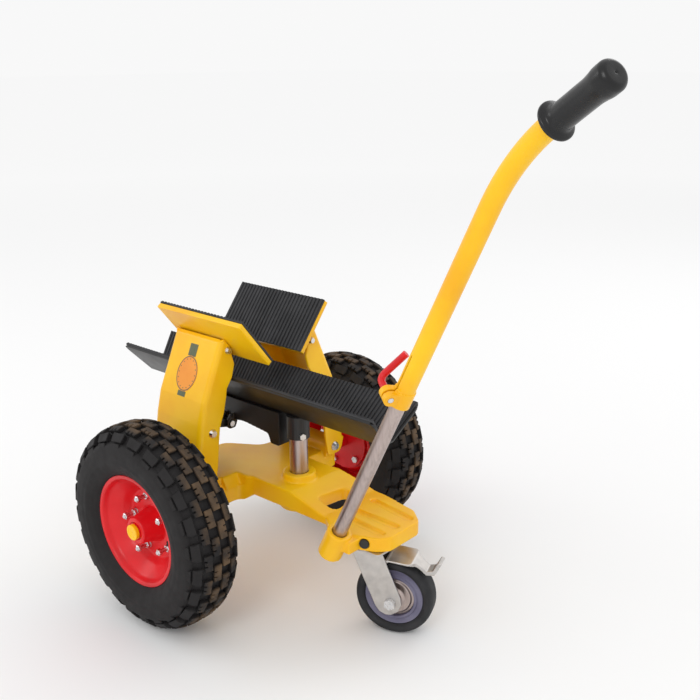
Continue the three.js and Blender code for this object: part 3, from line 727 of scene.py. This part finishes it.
def handle():
    """Split clamp cut from the solid, a smooth bent tube above it, and the grip with its flange."""
    foot, along = tube_line()
    in_plane = Vector((along.z, 0, -along.x))
    outward = in_plane * math.cos(BEND_TURN) - Y * math.sin(BEND_TURN)
    centre = foot + along * BEND_START + outward * BEND_R

    def bend(t):
        return centre - outward * BEND_R * math.cos(t) + along * BEND_R * math.sin(t)

    clamp = soft_cast("handle_clamp", "handle_upper_tube", 0.75 * MM, 3)
    trim_clamp(clamp, foot, along)
    straight = BEND_START - CLAMP_KEEP
    route = [foot + along * (CLAMP_KEEP - 0.5 * MM + straight * k / 6) for k in range(6)]
    route += [bend(BEND_ANGLE * k / 24) for k in range(25)]
    bend_end = bend(BEND_ANGLE)
    grip_dir = along * math.cos(BEND_ANGLE) + outward * math.sin(BEND_ANGLE)
    route += [bend_end + grip_dir * 14 * MM]
    settle(tube("handle_bent_tube", route, UPPER_TUBE_R, 64), "handle_upper_tube")
    grip = rounded([
        (12.5, 4), (23.5, 4), (23.5, 8), (17.4, 11), (15.9, 15), (15.8, 66), (16.9, 75), (18.2, 82),
        (18.2, 95), (14, 100), (0.3, 100), (0.3, 90), (12.5, 90),
    ], 3.0)
    grip = [(r * MM, h * MM) for r, h in grip]
    stand_for(revolve("grip_moulded", grip, bend_end, grip_dir, 96, 50), "handle_grip")


def trim_clamp(clamp, foot, along):
    """Cuts the tube off above the clamp and puts what is nearly round back on its true radius."""
    bm = bmesh.new()
    bm.from_mesh(clamp.data)
    bmesh.ops.bisect_plane(bm, geom=bm.verts[:] + bm.edges[:] + bm.faces[:],
                           plane_co=foot + along * CLAMP_KEEP, plane_no=along, clear_outer=True)
    for v in bm.verts:
        s = (v.co - foot).dot(along)
        radial = v.co - foot - along * s
        for radius in CLAMP_ROUNDS:
            if abs(radial.length - radius) < 0.45 * MM:
                v.co = foot + along * s + radial.normalized() * radius
    bm.to_mesh(clamp.data)
    bm.free()
    smooth(clamp, 50)


def lever():
    """Red clamp lever: screw stub, elbow and arm as one bent round bar, and its bright screw."""
    j = JOINTS["clamp_turn"]
    eye, screw = Vector(j["pos_m"]), Vector(j["axis"]).normalized()
    along = tube_line()[1]
    ear_out = screw.cross(along).normalized()
    if ear_out.y > 0:
        ear_out = -ear_out
    arm_splay, arm_length, elbow, reach = 0.519, 39 * MM, 11 * MM, 36 * MM
    arm = (along - ear_out * arm_splay).normalized()
    corner = eye + screw * reach
    a, b = corner - screw * elbow, corner + arm * elbow
    route = [eye + screw * 11.6 * MM, eye + screw * 16 * MM]
    route += [a * (1 - t) ** 2 + corner * 2 * t * (1 - t) + b * t * t for t in (k / 12 for k in range(13))]
    route += [b + arm * arm_length * k / 5 for k in range(1, 6)]
    stand_for(tube("lever_bent_bar", route, 5.2 * MM, 28), "clamp_lever")
    stub = tube("lever_screw", [eye - screw * 10.6 * MM, eye, eye + screw * 12 * MM], 4 * MM, 28)
    settle(stub, "clamp_lever", material=BRIGHT)


# ---- caster ------------------------------------------------------------------------------------
def caster():
    """Pressed fork, tyre with a soft shoulder, grooved grey ring, turned hub and brake pedal."""
    j = JOINTS["caster_roll"]
    centre, axle = Vector(j["pos_m"]), Vector(j["axis"]).normalized()
    tyre = [(46.3, -14), (50, -17.6), (53.5, -19), (59, -17.4), (61.6, -10)]
    ring = [(32.3, -15), (36, -15), (38, -12), (42, -12), (46, -13.4)]
    hub = [(5.5, -21), (12, -21), (13, -16), (17, -13), (26, -13), (28, -10), (32, -10)]
    for name, node, half, ease in (
        ("caster_tyre_soft", "caster_tyre", tyre, 4.0),
        ("caster_ring_grooved", "caster_rim", ring, 1.0),
        ("caster_hub_turned", "caster_hub", hub, 1.0),
    ):
        outline = [(r * MM, h * MM) for r, h in rounded(mirrored(half), ease)]
        stand_for(revolve(name, outline, centre, axle, 96), node)
    soft_cast("caster_fork_pressed", "caster_fork", 0.8 * MM, 4)
    soft_cast("caster_brake_pressed", "caster_brake", 0.7 * MM, 4)


# ---- build -------------------------------------------------------------------------------------
for side in ("left", "right"):
    wheel_tyre(side)
    wheel_metal(side)
    pad_rubber(side)
    upright = soft_cast(f"{side}_upright_folded", f"{side}_upright", 1.1 * MM, 5)
    low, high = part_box(f"{side}_upright")
    round_folds(upright, [(y * MM, z * MM) for y, z in UPRIGHT_WEB], low.x, high.x, 9 * MM)
    soft_cast(f"{side}_pad_plate_smooth", f"{side}_pad_plate", 1.1 * MM, 4)
    chamfer_copy(f"{side}_link_bar", f"{side}_link", 0.8 * MM)
soft_cast("base_casting", "base_frame", 1.3 * MM, 9)
chamfer_copy("cradle_shell_pressed", "cradle_shell", 1.2 * MM)
chamfer_copy("caster_plate_pressed", "caster_plate", 0.6 * MM)
soft_cast("carriage_welded", "carriage_beam", 1.0 * MM, 4)
cradle_liner()
badge()
handle()
lever()
caster()
round_bar("guide_post_turned", "guide_post", Z, 15 * MM)
round_bar("lower_tube_drawn", "handle_lower_tube", tube_line()[1], 11 * MM, 0.5 * MM)
round_bar("axle_turned", "wheel_axle", Y, 10 * MM)

# The nodes still shown as they are get their slots' materials.
for node, obj in frame["nodes"].items():
    if not obj.hide_render:
        obj.data.materials.clear()
        obj.data.materials.append(SLOT_MATERIAL[NODE_SLOT[node]])


# ---- studio and camera -------------------------------------------------------------------------
def studio():
    """A pale floor that fades into the white surroundings, and three soft lamps."""
    floor_mat = Nodes("floor")
    far = floor_mat.span(floor_mat.length(floor_mat.place), start=1.0, end=6.0)
    pale, paler = (0.9, 0.9, 0.9), (0.99, 0.99, 0.99)
    floor_mat.link(floor_mat.mix(far, pale, paler), floor_mat.shader.inputs["Base Color"])
    floor_mat.set(Roughness=0.95, Specular_IOR_Level=0.0)
    bm = bmesh.new()
    bmesh.ops.create_grid(bm, x_segments=2, y_segments=2, size=40)
    floor = piece("floor", bm)
    floor.data.materials.append(floor_mat.mat)
    world = bpy.data.worlds.new("studio")
    world.use_nodes = True
    background = world.node_tree.nodes["Background"]
    background.inputs["Color"].default_value = (1, 1, 1, 1)
    background.inputs["Strength"].default_value = 0.94
    bpy.context.scene.world = world
    for name, at, aim, size, power in (
        ("key", (1.0, -2.4, 2.4), (0, 0, 0.3), 1.0, 16),
        ("fill", (-2.4, -1.6, 1.8), (0, 0, 0.3), 1.2, 8),
        ("back", (0.4, 2.4, 2.4), (0, 0, 0.4), 1.4, 10),
    ):
        light = bpy.data.lights.new(name, "AREA")
        light.size = size
        light.energy = power
        lamp = bpy.data.objects.new(name, light)
        lamp.location = at
        lamp.rotation_euler = (Vector(aim) - Vector(at)).to_track_quat("-Z", "Y").to_euler()
        bpy.context.scene.collection.objects.link(lamp)


CAMERA_AT = (0.90735, -0.9961, 0.8576)
CAMERA_AZIMUTH, CAMERA_ELEVATION, CAMERA_ROLL = (math.radians(v) for v in (41.8, 17.5, 0.5))
LENS = 48.23
SENSOR = 36


def camera():
    """Looks down along the azimuth and elevation, with a slight roll."""
    ca, sa = math.cos(CAMERA_AZIMUTH), math.sin(CAMERA_AZIMUTH)
    ce, se = math.cos(CAMERA_ELEVATION), math.sin(CAMERA_ELEVATION)
    cr, sr = math.cos(CAMERA_ROLL), math.sin(CAMERA_ROLL)
    back = Vector((sa * ce, -ca * ce, se))
    level = Vector((ca, sa, 0))
    down = -(back.cross(level))
    right = level * cr + down * sr
    below = -level * sr + down * cr
    turn = Matrix((right, -below, back)).transposed()
    data = bpy.data.cameras.new("camera")
    data.lens = LENS
    data.sensor_width = SENSOR
    data.clip_start = 0.05
    cam = bpy.data.objects.new("camera", data)
    cam.matrix_world = Matrix.Translation(CAMERA_AT) @ turn.to_4x4()
    bpy.context.scene.collection.objects.link(cam)
    bpy.context.scene.camera = cam


studio()
camera()
bpy.context.scene.view_settings.view_transform = "Standard"
